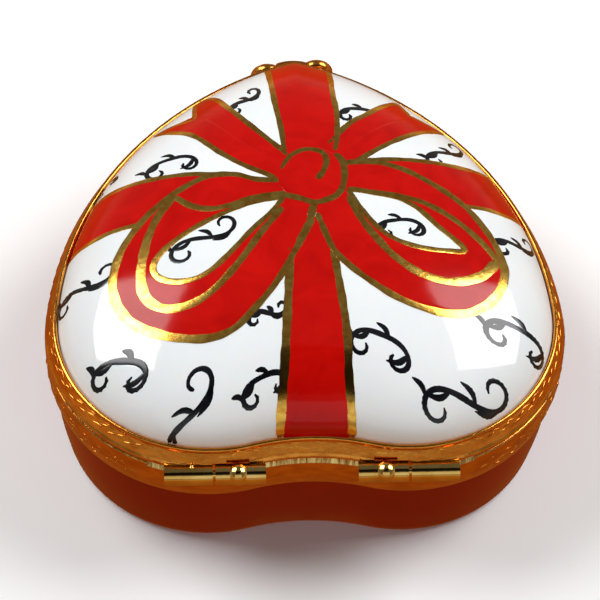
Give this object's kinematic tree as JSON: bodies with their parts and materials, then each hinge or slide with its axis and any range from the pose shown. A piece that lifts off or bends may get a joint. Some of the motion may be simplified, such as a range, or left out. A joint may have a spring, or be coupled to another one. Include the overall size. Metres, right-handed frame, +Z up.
{
  "type": "trinket box",
  "caption": "Heart-shaped porcelain trinket box with a domed hinged lid, gilt brass rims, a painted ribbon bow and a bow clasp.",
  "frame": {"origin": "on the surface that the box rests on, under the middle of the closed box", "axes": "+Z up; -Y towards the clasp at the heart's tip, +Y towards the hinge at the heart's notch; +X to the left of someone who looks at the hinge side"},
  "size_m": [0.06, 0.0627, 0.0287],
  "materials": {
    "red_glaze": "deep red glaze, glossy",
    "white_porcelain": "white hard-paste porcelain, clear glossy glaze",
    "gilt_brass": "chased and burnished, warm gilt",
    "hinge_brass": "polished drawn brass",
    "painted_red": "overglaze enamel, glossy",
    "burnished_gold": "fired liquid gold, mirror bright",
    "painted_black": "overglaze enamel, glossy"
  },
  "bodies": {
    "base": {"base_shell": "red_glaze", "base_rim": "gilt_brass", "catch_bead": "gilt_brass", "left_base_knuckle": "hinge_brass", "right_base_knuckle": "hinge_brass", "left_hinge_pin": "hinge_brass", "right_hinge_pin": "hinge_brass", "left_hinge_stud": "hinge_brass", "right_hinge_stud": "hinge_brass"},
    "lid": {"lid_shell": "white_porcelain", "lid_rim": "gilt_brass", "left_lid_knuckle": "hinge_brass", "right_lid_knuckle": "hinge_brass", "clasp_tongue": "gilt_brass", "clasp_bow": "gilt_brass"}
  },
  "joints": [
    {"name": "lid_hinge", "type": "hinge", "parent": "base", "child": "lid", "pos_m": [0, 0.03005, 0.0169], "axis": [-1, 0, 0], "range_deg": [0, 95]}
  ]
}
